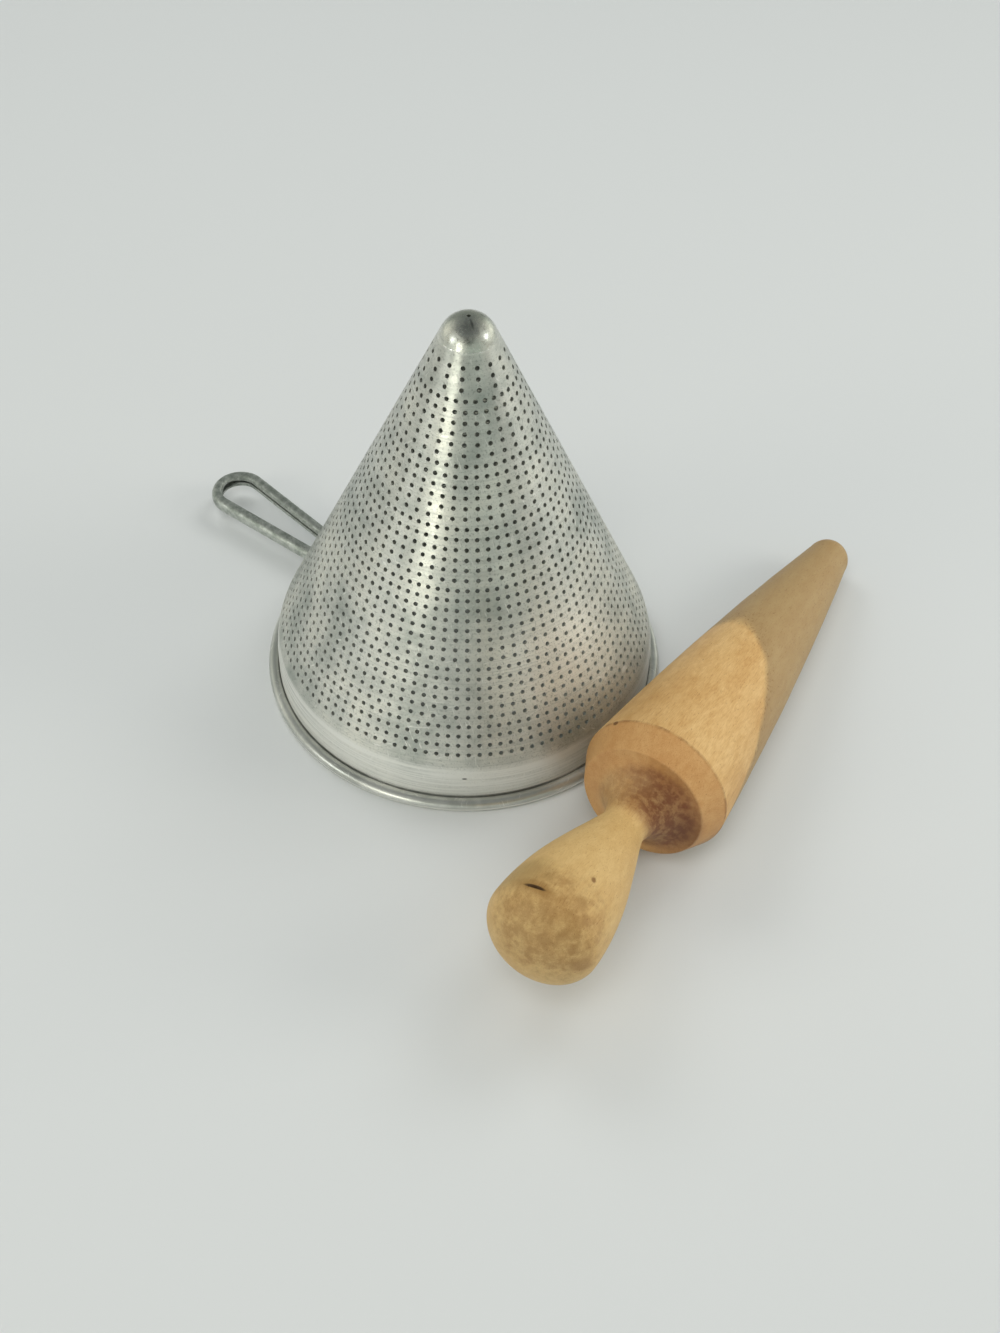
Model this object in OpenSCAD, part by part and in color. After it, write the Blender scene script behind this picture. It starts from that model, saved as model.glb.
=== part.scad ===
// Cone colander with a loop handle, standing on its mouth, and its turned wooden pestle.
// The origin is on the cone's axis, on the surface that the mouth stands on, with +Z up through
// the tip and the handle along -X. All lengths are in millimetres and all angles in degrees.

/* [Strainer] */
// Outside diameter over the rolled rim
rim_d = 184; // [160:1:220]
// Height from the rim's underside to the tip
strainer_h = 202; // [170:1:240]
// Thickness of the sheet
sheet = 1.2; // [0.8:0.1:1.6]
// Outside radius of the rounded tip
tip_r = 12.3; // [8:0.1:18]
// Height at which the straight wall at the mouth ends
wall_top = 15.5; // [14.5:0.1:22]
// Outside radius of the bend from that wall into the cone
bend_r = 38; // [20:1:50]
// Diameter of the rolled rim
bead_d = 6.2; // [5:0.1:7]
// Gap between the rim's rolled edge and the wall
curl_gap = 0.3; // [0.2:0.1:1.5]
// Diameter of the vent hole in the tip
vent_d = 1.6; // [1:0.1:3]

/* [Perforation] */
// Diameter of a hole
hole_d = 2; // [1.5:0.1:3]
// Distance from one ring of holes to the next, along the cone's side
ring_pitch = 4.5; // [4:0.1:6]
// Distance from the end of the tip's rounding to the first ring
first_ring = 8.2; // [5:0.1:12]
// Of the real rings, only every so many-th is drilled here, to keep the solid light
ring_step = 3; // [3:1:6]
// Of a ring's real holes, only every so many-th is drilled here
hole_step = 4; // [4:1:8]

/* [Handle] */
// Distance from the strainer's wall to the handle's free end
handle_reach = 79.5; // [60:0.5:120]
// Outside width of the loop at its free end
loop_w = 28; // [24:0.5:40]
// Outside width of the two arms where they meet the wall
root_w = 18; // [16:0.5:24]
// Height of the strip's section
strip_h = 7.5; // [6.6:0.1:8]
// Depth of the strip's section
strip_depth = 5.2; // [5:0.1:6]
// Thickness of the strip
strip_t = 1; // [0.8:0.1:1.4]
// Outside radius of the strip's rounded back
strip_round = 3; // [2:0.1:3.2]
// Outside radius of the lips that the strip's edges are curled into, on the inner side of the loop
lip_round = 1.9; // [1.5:0.1:2]
// Gap between the two lips
slit = 1.4; // [0.8:0.1:1.8]
// Height to which that gap opens at the loop's end
gape_h = 3.2; // [2.2:0.1:3.4]
// Length over which it opens, straight across the loop
gape_l = 15; // [8:0.5:16]
// Length of each ear along the wall, from the handle's centre line
ear_reach = 22; // [20:0.5:30]

/* [Rivets] */
// Diameter of a rivet's shank
rivet_d = 3; // [2:0.1:3.5]
// Diameter of its domed head
rivet_head_d = 5.6; // [4.5:0.1:6.5]
// Height of its domed head
rivet_head_h = 1.5; // [1:0.1:2.5]
// Diameter of its countersunk inner end
rivet_sink_d = 4.6; // [3.8:0.1:5.5]

/* [Pestle] */
// Radius of the pestle's rounded tip
pestle_tip_r = 10.4; // [7:0.1:14]
// Length from the tip to the pestle's widest line
pestle_body_l = 194.7; // [160:0.5:230]
// Radius at the widest line
pestle_r = 33.5; // [25:0.1:38]
// How far the body's side swells beyond a straight taper
pestle_swell = 1.9; // [0:0.1:4]
// Length of the heel that narrows below the widest line
heel_l = 12.4; // [8:0.1:18]
// Radius at the heel's lower edge
heel_r = 27.7; // [20:0.1:30]
// Radius of the neck
neck_r = 10; // [8:0.1:14]
// Length from the neck to the knob's widest line
knob_l = 64.8; // [50:0.1:80]
// Radius of the knob
knob_r = 24.7; // [18:0.1:30]
// Length from the knob's widest line to its flattened end
knob_end_l = 16.4; // [10:0.1:25]
// Where the lying pestle's tip is, seen from above
pestle_at = [96.4, 158.5];
// Direction in which the pestle points from its tip to its knob
pestle_turn = -80; // [-95:1:-70]
// Where along its body the pestle touches the surface, as a share of the body's length
pestle_rest = 0.7; // [0.5:0.05:0.9]

/* [Hidden] */
$fn = 360;
// Clearance around each rivet
rivet_fit = 0.05;
// Strokes of the gang punch in a whole turn, and where the first one starts
strokes = 16;
stroke_turn = -0.37;
// How far past the end of the cone's straight side the last ring may still lie
ring_over = 0.1;
// Rings after which each stroke pierces one hole more
gang_rings = [3, 9, 15, 21, 29, 35];
// Steps in the arcs of the outlines
fine_steps = 12;
arc_steps = 8;

// Points of an arc, from angle a to angle b
function arc(c, r, a, b, n) = [for (i = [0:1:n]) c + r * [cos(a + (b - a) * i / n), sin(a + (b - a) * i / n)]];

// Strainer outline
bead_r = bead_d / 2;
wall_r = rim_d / 2 - bead_d + sheet;
wall_in = wall_r - sheet;
tip_c = [0, strainer_h - tip_r];
bend_c = [wall_r - bend_r, wall_top];
bead_c = [wall_in + bead_r, bead_r];
tip_to_bend = bend_c - tip_c;
// The cone is the straight line that touches the tip's arc and the bend's arc
cone_angle = acos((tip_r - bend_r) / norm(tip_to_bend)) - atan2(-tip_to_bend[1], tip_to_bend[0]);
curl_end = 360 + acos((wall_r + curl_gap - bead_c[0]) / bead_r);

// The rim's roll, from the wall through its lowest point, which is a point of its own, to its edge
function roll(r) = concat(
  arc(bead_c, r, 180, 270, arc_steps),
  [for (i = [1:1:2 * arc_steps]) arc(bead_c, r, 270, curl_end, 2 * arc_steps)[i]]
);
function backwards(points) = [for (i = [len(points) - 1:-1:0]) points[i]];

strainer_outline = concat(
  arc(tip_c, tip_r, acos(vent_d / 2 / tip_r), cone_angle, arc_steps),
  arc(bend_c, bend_r, cone_angle, 0, arc_steps),
  roll(bead_r - sheet),
  backwards(roll(bead_r)),
  arc(bend_c, bend_r - sheet, 0, cone_angle, arc_steps),
  arc(tip_c, tip_r - sheet, cone_angle, acos(vent_d / 2 / (tip_r - sheet)), arc_steps)
);

// Perforation
// The rings end where the cone's straight side ends
side_start = tip_c + tip_r * [cos(cone_angle), sin(cone_angle)];
side_way = [sin(cone_angle), -cos(cone_angle)];
last_ring = floor((tip_to_bend * side_way + ring_over - first_ring) / ring_pitch);
function holes_in(ring) = strokes * (1 + len([for (end = gang_rings) if (ring >= end) end]));
function ring_place(ring) = side_start + (first_ring + ring * ring_pitch) * side_way;

// Handle
// The strip clears the rolled rim and lies against the straight wall
rim_clear = 0.55;
handle_z = bead_d + rim_clear + strip_h / 2;
loop_r = loop_w / 2;
loop_c = wall_r + handle_reach - loop_r;
root_l = norm([loop_c - wall_r, root_w / 2]);
arm_angle = asin(loop_r / root_l) - atan2(root_w / 2, loop_c - wall_r);
arm_l = sqrt(root_l * root_l - loop_r * loop_r) + strip_depth;

// One side of the strip, at a depth below its outer face, from the upper lip round to the lower
function strip_side(depth) = concat(
  [[depth, slit / 2]],
  arc([lip_round, strip_h / 2 - lip_round], lip_round - depth, 180, 90, arc_steps),
  arc([strip_depth - strip_round, strip_h / 2 - strip_round], strip_round - depth, 90, 0, arc_steps),
  arc([strip_depth - strip_round, strip_round - strip_h / 2], strip_round - depth, 0, -90, arc_steps),
  arc([lip_round, lip_round - strip_h / 2], lip_round - depth, -90, -180, arc_steps),
  [[depth, -slit / 2]]
);
strip_outline = concat(strip_side(0), backwards(strip_side(strip_t)));

// The opening's outline is two arcs that meet at its ends
gape_r = (gape_l * gape_l + gape_h * gape_h) / 4 / gape_h;
gape_half = asin(gape_l / 2 / gape_r);
gape_outline = concat(
  arc([0, gape_h / 2 - gape_r], gape_r, 90 - gape_half, 90 + gape_half, arc_steps),
  arc([0, gape_r - gape_h / 2], gape_r, 270 - gape_half, 270 + gape_half, arc_steps)
);

// Ears
ear_root = root_w / 2 - strip_depth;
ear_outline = concat(
  [[ear_root, strip_h / 2], [ear_root, -strip_h / 2]],
  arc([ear_reach - strip_h / 2, 0], strip_h / 2, -90, 90, fine_steps)
);

// Rivets
// Each rivet sits in the middle of an ear's rounded end, through the ear and the wall
rivet_turn = asin((ear_reach - strip_h / 2) / wall_r);
grip = sheet + strip_t;
dome_r = (rivet_head_d * rivet_head_d / 4 + rivet_head_h * rivet_head_h) / 2 / rivet_head_h;
dome_edge = asin(1 - rivet_head_h / dome_r);
// Countersunk end and shank, and the same made larger by a clearance for the hole
function shank_outline(clear, end) = [
  [0, -strip_t],
  [rivet_sink_d / 2 + clear, -strip_t],
  [rivet_sink_d / 2 + clear, 0],
  [rivet_d / 2 + clear, (rivet_sink_d - rivet_d) / 2],
  [rivet_d / 2 + clear, end]
];
rivet_outline = concat(
  shank_outline(0, grip),
  arc([0, grip + rivet_head_h - dome_r], dome_r, dome_edge, 90, arc_steps)
);
hole_outline = concat(shank_outline(rivet_fit, grip + rivet_head_h), [[0, grip + rivet_head_h]]);

// Pestle
pestle_side_l = pestle_body_l - pestle_tip_r;
pestle_angle = atan((pestle_r - pestle_tip_r) / pestle_side_l);
heel_edge = pestle_body_l + heel_l;
cove_r = heel_r - neck_r;
knob_at = heel_edge + cove_r + knob_l;
// How far above a straight taper the body's side is, at share f of its length
function swell(f) = 4 * pestle_swell * f * (1 - f);
pestle_side = [
  for (i = [1:1:fine_steps])
    [pestle_tip_r + (pestle_r - pestle_tip_r) * i / fine_steps + swell(i / fine_steps),
      pestle_tip_r + pestle_side_l * i / fine_steps]
];
pestle_outline = concat(
  [[0, 0]],
  [for (i = [1:1:arc_steps]) pestle_tip_r * [sin(90 * i / arc_steps), 1 - cos(90 * i / arc_steps)]],
  pestle_side,
  [for (i = [0:1:arc_steps]) [heel_r - cove_r * sin(90 * i / arc_steps),
    heel_edge + cove_r * (1 - cos(90 * i / arc_steps))]],
  [for (i = [1:1:fine_steps]) [neck_r + (knob_r - neck_r) * pow(sin(90 * i / fine_steps), 1.1),
    knob_at - knob_l * (1 - i / fine_steps)]],
  [for (i = [1:1:arc_steps]) [knob_r * cos(90 * i / arc_steps),
    knob_at + knob_end_l * sin(90 * i / arc_steps)]]
);
// The pestle lies on its swollen side, so its tilt is the side's slope where it touches
pestle_tilt = atan(tan(pestle_angle) + 4 * pestle_swell * (1 - 2 * pestle_rest) / pestle_side_l);
// Height at which the tip end of the axis lies, so that the side just touches the surface
pestle_z = max([for (p = pestle_outline) p[0] * cos(pestle_tilt) - (p[1] - pestle_tip_r) * sin(pestle_tilt)]);

// Revolves an outline about the axis of the rivet in one of the two ears
module at_rivet(side, outline) {
  rotate([0, 0, 180 - side * rivet_turn])
    translate([wall_in, 0, handle_z])
      rotate([0, 90, 0])
        rotate_extrude()
          polygon(outline);
}

// Drills that stand square to the cone's side, in rings
module drills() {
  for (ring = [0:ring_step:last_ring])
    for (hole = [0:hole_step:holes_in(ring) - 1])
      rotate([0, 0, stroke_turn + (hole + 0.5) * 360 / holes_in(ring)])
        translate([ring_place(ring)[0], 0, ring_place(ring)[1]])
          rotate([0, 90 - cone_angle, 0])
            cylinder(h = 4 * sheet, d = hole_d, center = true);
}

module strainer() {
  color("silver")
    difference() {
      rotate_extrude()
        polygon(strainer_outline);
      drills();
      for (side = [-1, 1])
        at_rivet(side, hole_outline);
    }
}

module arm() {
  translate([loop_c, 0, handle_z])
    rotate([0, 0, 90 + arm_angle])
      translate([loop_r - strip_depth, 0, 0])
        rotate([90, 0, 0])
          translate([0, 0, -arm_l])
            linear_extrude(height = arm_l)
              polygon(strip_outline);
}

module ear() {
  intersection() {
    difference() {
      translate([0, 0, handle_z - strip_h])
        cylinder(h = 2 * strip_h, r = wall_r + strip_t);
      translate([0, 0, handle_z - strip_h - 1])
        cylinder(h = 2 * strip_h + 2, r = wall_r);
    }
    translate([0, 0, handle_z])
      rotate([90, 0, 90])
        linear_extrude(height = 2 * wall_r)
          polygon(ear_outline);
  }
}

module handle() {
  color("gray")
    rotate([0, 0, 180])
      difference() {
        union() {
          translate([loop_c, 0, handle_z])
            rotate([0, 0, -90 - arm_angle])
              rotate_extrude(angle = 180 + 2 * arm_angle)
                translate([loop_r - strip_depth, 0])
                  polygon(strip_outline);
          arm();
          mirror([0, 1, 0])
            arm();
          ear();
          mirror([0, 1, 0])
            ear();
        }
        cylinder(h = strainer_h, r = wall_r);
        translate([loop_c, 0, handle_z])
          rotate([90, 0, 90])
            linear_extrude(height = loop_r - strip_depth / 2)
              polygon(gape_outline);
        for (side = [-1, 1])
          rotate([0, 0, 180])
            at_rivet(side, hole_outline);
      }
}

module rivets() {
  color("lightgray")
    for (side = [-1, 1])
      difference() {
        at_rivet(side, rivet_outline);
        cylinder(h = strainer_h, r = wall_in);
      }
}

module pestle() {
  color("burlywood")
    translate([pestle_at[0], pestle_at[1], pestle_z])
      rotate([0, 90 - pestle_tilt, pestle_turn])
        translate([0, 0, -pestle_tip_r])
          rotate_extrude()
            polygon(pestle_outline);
}

strainer();
handle();
rivets();
pestle();
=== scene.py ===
"""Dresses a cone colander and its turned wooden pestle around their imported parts.

Lengths are in metres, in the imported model's frame: the cone stands mouth down on the origin,
its handle points along -X, and the pestle lies beside it.
"""

import logging
import math
from collections.abc import Iterable
from dataclasses import dataclass, field
from enum import Enum

import bmesh
import bpy
from mathutils import Matrix, Vector, noise

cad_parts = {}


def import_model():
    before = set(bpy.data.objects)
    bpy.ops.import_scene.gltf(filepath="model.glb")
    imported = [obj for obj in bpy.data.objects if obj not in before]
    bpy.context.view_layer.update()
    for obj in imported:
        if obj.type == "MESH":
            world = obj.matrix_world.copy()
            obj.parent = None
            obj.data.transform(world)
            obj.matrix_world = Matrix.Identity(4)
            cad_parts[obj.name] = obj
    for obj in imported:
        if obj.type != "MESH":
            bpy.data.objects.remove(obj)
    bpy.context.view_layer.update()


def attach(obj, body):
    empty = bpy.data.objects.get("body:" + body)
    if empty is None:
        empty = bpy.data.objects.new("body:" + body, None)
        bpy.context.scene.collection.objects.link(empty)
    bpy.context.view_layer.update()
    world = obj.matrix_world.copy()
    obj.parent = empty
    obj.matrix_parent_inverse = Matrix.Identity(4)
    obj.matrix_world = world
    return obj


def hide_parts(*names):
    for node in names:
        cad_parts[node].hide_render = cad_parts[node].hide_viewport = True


LOG = logging.getLogger("colander")
MM = 0.001
# Points nearer than this are one point, and a cut goes through a point nearer than the other
WELD = 0.002 * MM
ON_CUT = 0.0001 * MM
# Every Map Range node goes from one value to the other in a soft curve
SOFT = {"interpolation_type": "SMOOTHSTEP"}

Point = tuple[float, float, float]
Socket = bpy.types.NodeSocket
# What an input is given: a plain value, an output, or a node, whose first output in use is meant
Source = bpy.types.Node | Socket | float | Iterable[float]
# How strongly a layer covers, and its colour
Layer = tuple[Source, str]


class Axis(Enum):
    """Axes that meshes are spun about."""

    X = Vector((1.0, 0.0, 0.0))
    Z = Vector((0.0, 0.0, 1.0))


def linear(hex_colour: str) -> tuple[float, float, float, float]:
    """Turns an sRGB hex colour into a linear one.

    Args:
        hex_colour: Six hex digits after a hash.

    Returns:
        Red, green, blue and alpha.
    """
    values = []
    for start in (1, 3, 5):
        value = int(hex_colour[start : start + 2], 16) / 255.0
        values.append(value / 12.92 if value <= 0.04045 else ((value + 0.055) / 1.055) ** 2.4)
    return (values[0], values[1], values[2], 1.0)


def on_axis(turn: float, radius: float, along: float) -> Point:
    """Finds a point beside an upright axis, from its direction in degrees, distance and height."""
    angle = math.radians(turn)
    return (radius * math.cos(angle), radius * math.sin(angle), along)


def toward(turn: float, lift: float) -> Point:
    """Finds the direction that lies turn degrees round an upright axis and lift degrees up."""
    level = math.radians(lift)
    return on_axis(turn, math.cos(level), math.sin(level))


@dataclass
class Nodes:
    """A material's or a world's tree."""

    owner: bpy.types.Material | bpy.types.World

    def __post_init__(self) -> None:
        """Starts with an empty tree."""
        self.owner.use_nodes = True
        self.tree = self.owner.node_tree
        self.tree.nodes.clear()

    def feed(self, target: Socket, source: Source) -> None:
        """Links an input or sets its value.

        Args:
            target: The input.
            source: What it is given.
        """
        if isinstance(source, bpy.types.Node):
            source = next(output for output in source.outputs if output.enabled)
        if isinstance(source, Socket):
            self.tree.links.new(source, target)
        else:
            target.default_value = source

    def add(
        self,
        kind: str,
        inputs: Iterable[Source] | dict[str | int, Source] = (),
        stops: tuple[tuple[float, str], ...] = (),
        **settings: object,
    ) -> bpy.types.Node:
        """Adds one node with its settings and links.

        Args:
            kind: The node's type, without ShaderNode in front.
            inputs: What its inputs are given, in order, or by name or number.
            stops: A colour ramp's values in rising order, each with its colour.
            **settings: The node's own properties.

        Returns:
            The new node.
        """
        node = self.tree.nodes.new("ShaderNode" + kind)
        for name, value in settings.items():
            setattr(node, name, value)
        for name, source in inputs.items() if isinstance(inputs, dict) else enumerate(inputs):
            self.feed(node.inputs[name], source)
        # A new ramp has two ends, and the stops between them are added after they are moved
        for index, (position, colour) in enumerate(stops[:1] + stops[-1:] + stops[1:-1]):
            elements = node.color_ramp.elements
            element = elements[index] if index < 2 else elements.new(position)
            element.position = position
            element.color = linear(colour)
        return node

    def where_all(self, *masks: Source) -> Source:
        """Draws where all masks show.

        Args:
            *masks: The masks, from 0 to 1.

        Returns:
            Their product.
        """
        shared = masks[0]
        for mask in masks[1:]:
            shared = self.add("Math", [shared, mask], operation="MULTIPLY")
        return shared

    def where_any(self, *masks: Source) -> Source:
        """Draws where any mask shows.

        Args:
            *masks: The masks, from 0 to 1.

        Returns:
            The strongest of them.
        """
        joined = masks[0]
        for mask in masks[1:]:
            joined = self.add("Math", [joined, mask], operation="MAXIMUM")
        return joined

    def grains(
        self, place: Source, size: float | Point, detail: float = 2.0, rough: float = 0.5
    ) -> Source:
        """Draws an irregular pattern whose grains have a real size.

        Args:
            place: The points that it is laid out on.
            size: A grain's size, or its sizes along the three axes, in metres.
            detail: How many times it is laid over itself at half the size.
            rough: How strong the finer ones are.

        Returns:
            The pattern, about 0.5 on average.
        """
        sizes = (size,) * 3 if isinstance(size, float) else size
        scale = [1 / length for length in sizes]
        scaled = self.add("Mapping", {"Vector": place, "Scale": scale})
        inputs = {"Vector": scaled, "Scale": 1.0, "Detail": detail, "Roughness": rough}
        return self.add("TexNoise", inputs)

    def cover(self, tone: Source, *layers: Layer, mode: str = "MIX") -> Source:
        """Lays layers over a colour, in order.

        Args:
            tone: The colour underneath.
            *layers: The layers.
            mode: How each goes with what is underneath.

        Returns:
            The covered colour.
        """
        for share, colour in layers:
            inputs = {"Factor": share, 6: tone, 7: linear(colour)}
            tone = self.add("Mix", inputs, data_type="RGBA", blend_type=mode)
        return tone


@dataclass
class Surface(Nodes):
    """A material's tree with its shader."""

    def __post_init__(self) -> None:
        """Starts with the shader."""
        super().__post_init__()
        self.shader = self.add("BsdfPrincipled")
        self.add("OutputMaterial", {"Surface": self.shader})

    def give(self, name: str, source: Source) -> None:
        """Gives the shader one of its inputs."""
        self.feed(self.shader.inputs[name], source)

    def roughen(self, height: Source, depth: float) -> None:
        """Gives the surface a fine relief.

        Args:
            height: The relief, from 0 to 1.
            depth: Its real depth.
        """
        bump = self.add("Bump", {"Height": height, "Strength": 0.5, "Distance": depth})
        self.give("Normal", bump)


@dataclass(frozen=True)
class Spot:
    """A mark on a surface: an ellipsoid whose own X axis is turned about Z to point out of it.

    Its centre and size are in millimetres. The size is half its depth, its length round the axis
    and its width along the axis.
    """

    centre: Point
    turn: float
    size: Point
    colour: str
    strength: float = 1.0
    # Share of the ellipsoid over which the mark fades out
    fade: float = 0.3
    # Share of the ellipsoid by which its outline wanders
    ragged: float = 0.0

    @classmethod
    def beside(cls, turn: float, radius: float, along: float, *rest: object) -> "Spot":
        """Makes a mark beside an upright axis, from its direction, distance and height."""
        return cls(on_axis(turn, radius, along), turn, *rest)

    def layer(self, nodes: Nodes, place: Source, uneven: Source = 0.5) -> Layer:
        """Draws the mark.

        Args:
            nodes: The material's tree.
            place: The points that the mark is placed on.
            uneven: A pattern, about 0.5 on average, that makes its outline wander.

        Returns:
            How strongly it shows, from 0 outside it, and its colour.
        """
        inputs = {
            "Vector": place,
            "Location": [length * MM for length in self.centre],
            "Rotation": (0.0, 0.0, math.radians(self.turn)),
            "Scale": [length * MM for length in self.size],
        }
        inside = nodes.add("Mapping", inputs, vector_type="TEXTURE")
        far = nodes.add("VectorMath", [inside], operation="LENGTH")
        ragged = [uneven, self.ragged, -0.5 * self.ragged]
        off = nodes.add("Math", ragged, operation="MULTIPLY_ADD")
        far = nodes.add("Math", [far, off], operation="ADD")
        limits = [1.0 + self.fade, 1.0 - self.fade, 0.0, self.strength]
        return nodes.add("MapRange", [far, *limits], **SOFT), self.colour


@dataclass(frozen=True)
class SpunAluminium:
    """Bare spun aluminium sheet, dulled by years of washing: satin, with turning lines and wear.

    The eye sees broad soft reflections, drawn out down the side, and a fine grey speckle. The tip
    is rubbed brighter. The rolled rim's top is darkened by dirt and painted shade, its outer side
    has a painted highlight, the crease above it painted shade, and the side beside the pestle
    painted light.
    """

    name: str = "spun_aluminium"
    bright: str = "#E4E3D8"
    dull: str = "#D1D2CA"
    stain: str = "#AAAFA8"
    pit: str = "#7E847C"
    # The rolled rim's top: mottled dirt and painted shade
    rim_dirt_and_shade: str = "#A2A69F"
    # Painted shade in the crease between the rolled rim and the wall
    crease_shade: str = "#4E524C"
    # The worn colour is also a painted highlight on the rolled rim's outer side
    worn: str = "#F1F1EB"
    roughness: tuple[float, float] = (0.26, 0.38)
    tip_roughness: tuple[float, float] = (0.42, 0.22)
    rim_roughness: float = 0.3
    scratch_roughness: float = 0.66
    # Blotches and the dull lower part are this much rougher
    blotched: float = 0.08
    dulled: float = 0.16
    dull_low: tuple[float, float] = (120 * MM, 50 * MM)
    # The white bloom of oxide scatters light, more so low down, where it is scoured less
    oxide: tuple[float, float] = (0.12, 0.3)
    # Turning lines run round the axis and draw reflections out down the side
    drawn_out: float = 0.5
    # Turning lines are 0.1 mm apart on the real sheet, and 0.7 mm here, as coarse as shows
    lines: Point = (90 * MM, 90 * MM, 0.7 * MM)
    band_lines: Point = (60 * MM, 60 * MM, 1.2 * MM)
    speckle: float = 0.9 * MM
    smudge: float = 24 * MM
    blotch: float = 2.0 * MM
    scratch: tuple[float, float] = (0.55 * MM, 7 * MM)
    scratch_turns: tuple[float, ...] = (0.5, 1.6, 2.6)
    relief: float = 0.03 * MM
    band_h: float = 26 * MM
    tip_from: float = 191.5 * MM
    forming_line: float = 192.6 * MM
    wall_r: float = 87 * MM
    rim_h: float = 6.2 * MM
    # Painted light: the side beside the pestle is lightened, standing in for the lit pestle that it
    # reflects
    pestle_side_painted_light: Spot = Spot((66, -16.5, 66), -14.0, (14, 27, 24), "#F8F6EC", 0.8, 0.6, 0.8)
    marks: tuple[Spot, ...] = (
        Spot((57.95, -64.75, 18.3), -48.1, (1.2, 1.1, 0.4), "#3C403B"),
        Spot((3.6, -2.2, 200.9), -31.0, (2.5, 0.45, 1.8), "#5C605B", 0.6),
    )

    def zones(self, nodes: Nodes, place: Source, height: Source) -> tuple[Source, ...]:
        """Draws where the sheet's parts are.

        Args:
            nodes: The material's tree.
            place: Points on the sheet.
            height: Their heights.

        Returns:
            The tip, the forming line below it, the rolled rim's top and outer side, and the crease
            between the rim and the wall.
        """
        add = nodes.add
        level = add("VectorMath", [place, (1.0, 1.0, 0.0)], operation="MULTIPLY")
        radius = add("VectorMath", [level], operation="LENGTH")
        out = add("Math", [radius, self.wall_r], operation="SUBTRACT")
        over = add("Math", [height, self.rim_h], operation="SUBTRACT")
        tip = add("MapRange", [height, self.tip_from, self.tip_from + 1.5 * MM], **SOFT)
        past = add("Math", [height, self.forming_line], operation="SUBTRACT")
        off = add("Math", [past], operation="ABSOLUTE")
        line = add("MapRange", [off, 0.5 * MM, 0.1 * MM], **SOFT)
        rim = nodes.where_all(
            add("MapRange", [out, 0.2 * MM, 0.7 * MM], **SOFT),
            add("MapRange", [over, 0.6 * MM, 0.2 * MM], **SOFT),
        )
        rim_top = nodes.where_all(rim, add("MapRange", [over, -4.0 * MM, -2.8 * MM], **SOFT))
        rim_side = add("Math", [rim, rim_top], operation="SUBTRACT")
        crease = nodes.where_all(
            add("MapRange", [out, 1.0 * MM, 0.4 * MM], **SOFT),
            add("MapRange", [out, -0.4 * MM, -0.2 * MM], **SOFT),
            add("MapRange", [over, 0.9 * MM, 0.1 * MM], **SOFT),
        )
        return tip, line, rim_top, rim_side, crease

    def scratches(self, nodes: Nodes, place: Source, turn: float) -> Source:
        """Draws scratches that run one way.

        Args:
            nodes: The material's tree.
            place: Points on the sheet.
            turn: A turn in radians that tells this way from the others.

        Returns:
            How strong they are.
        """
        way = (turn * 1.7, turn, turn * 0.6)
        turned = nodes.add("Mapping", {"Vector": place, "Rotation": way})
        width, length = self.scratch
        hair = nodes.grains(turned, (width, length, length), 1.0)
        return nodes.add("MapRange", [hair, 0.68, 0.8], **SOFT)

    def material(self) -> bpy.types.Material:
        """Builds the material.

        Returns:
            The material.
        """
        surface = Surface(bpy.data.materials.new(self.name))
        add, where_all, where_any = surface.add, surface.where_all, surface.where_any
        place = add("TexCoord").outputs["Object"]
        height = add("SeparateXYZ", [place]).outputs["Z"]
        tip, line, rim_top, rim_side, crease = self.zones(surface, place, height)
        smudge = surface.grains(place, self.smudge, 5.0, 0.6)
        lines = surface.grains(place, self.lines, 3.0, 0.7)
        band_lines = surface.grains(place, self.band_lines, 2.0, 0.6)
        grit = surface.grains(place, self.speckle, 2.0, 0.6)
        blotch = surface.grains(place, self.blotch, 4.0, 0.7)
        line = where_all(line, add("MapRange", [blotch, 0.42, 0.6], **SOFT))
        wear = where_any(*(self.scratches(surface, place, turn) for turn in self.scratch_turns))
        band = add("MapRange", [height, self.band_h, self.band_h - 4 * MM], **SOFT)
        rim = add("Math", [rim_side, rim_top], operation="ADD")
        smooth = where_any(tip, rim)
        pitted = add("Math", [1.0, smooth], operation="SUBTRACT")

        stops = ((0.3, self.stain), (0.5, self.dull), (0.68, self.bright))
        stained = add("MapRange", [lines, 0.45, 0.7, 0.0, 0.35], **SOFT)
        pits = add("MapRange", [grit, 0.52, 0.72, 0.0, 0.5], **SOFT)
        polished = add("MapRange", [band_lines, 0.38, 0.6, 0.5, 0.9], **SOFT)
        rim_grime_and_shade = add("MapRange", [smudge, 0.35, 0.6, 0.25, 0.75], **SOFT)
        crease_shade_share = add("MapRange", [smudge, 0.35, 0.6, 0.2, 0.65], **SOFT)
        tone = surface.cover(
            add("ValToRGB", [smudge], stops),
            # Painted light on the side beside the pestle
            self.pestle_side_painted_light.layer(surface, place, smudge),
            (stained, self.stain),
            (where_all(pitted, pits), self.pit),
            (where_all(band, polished), self.worn),
            # The rolled rim's top is darkened: mottled dirt and painted shade
            (where_all(rim_top, rim_grime_and_shade), self.rim_dirt_and_shade),
            # Real scratches and the forming line, and a painted highlight on the rolled rim's outer
            # side
            (where_all(where_any(wear, line, rim_side), 0.75), self.worn),
            # Painted shade: the crease between the rim and the wall is darkened
            (where_all(crease, crease_shade_share), self.crease_shade),
            *(mark.layer(surface, place) for mark in self.marks),
        )
        surface.give("Base Color", tone)

        low = add("MapRange", [height, *self.dull_low], **SOFT)
        oxide = add("MapRange", [low, 0.0, 1.0, *self.oxide], **SOFT)
        bare = add("Math", [1.0, oxide], operation="SUBTRACT")
        surface.give("Metallic", where_any(bare, tip))
        drawn_out = add("MapRange", [smooth, 0.0, 1.0, self.drawn_out, 0.0], **SOFT)
        surface.give("Anisotropic", drawn_out)
        surface.give("Anisotropic Rotation", 0.25)
        surface.give("Tangent", add("Tangent", direction_type="RADIAL", axis="Z"))

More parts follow.
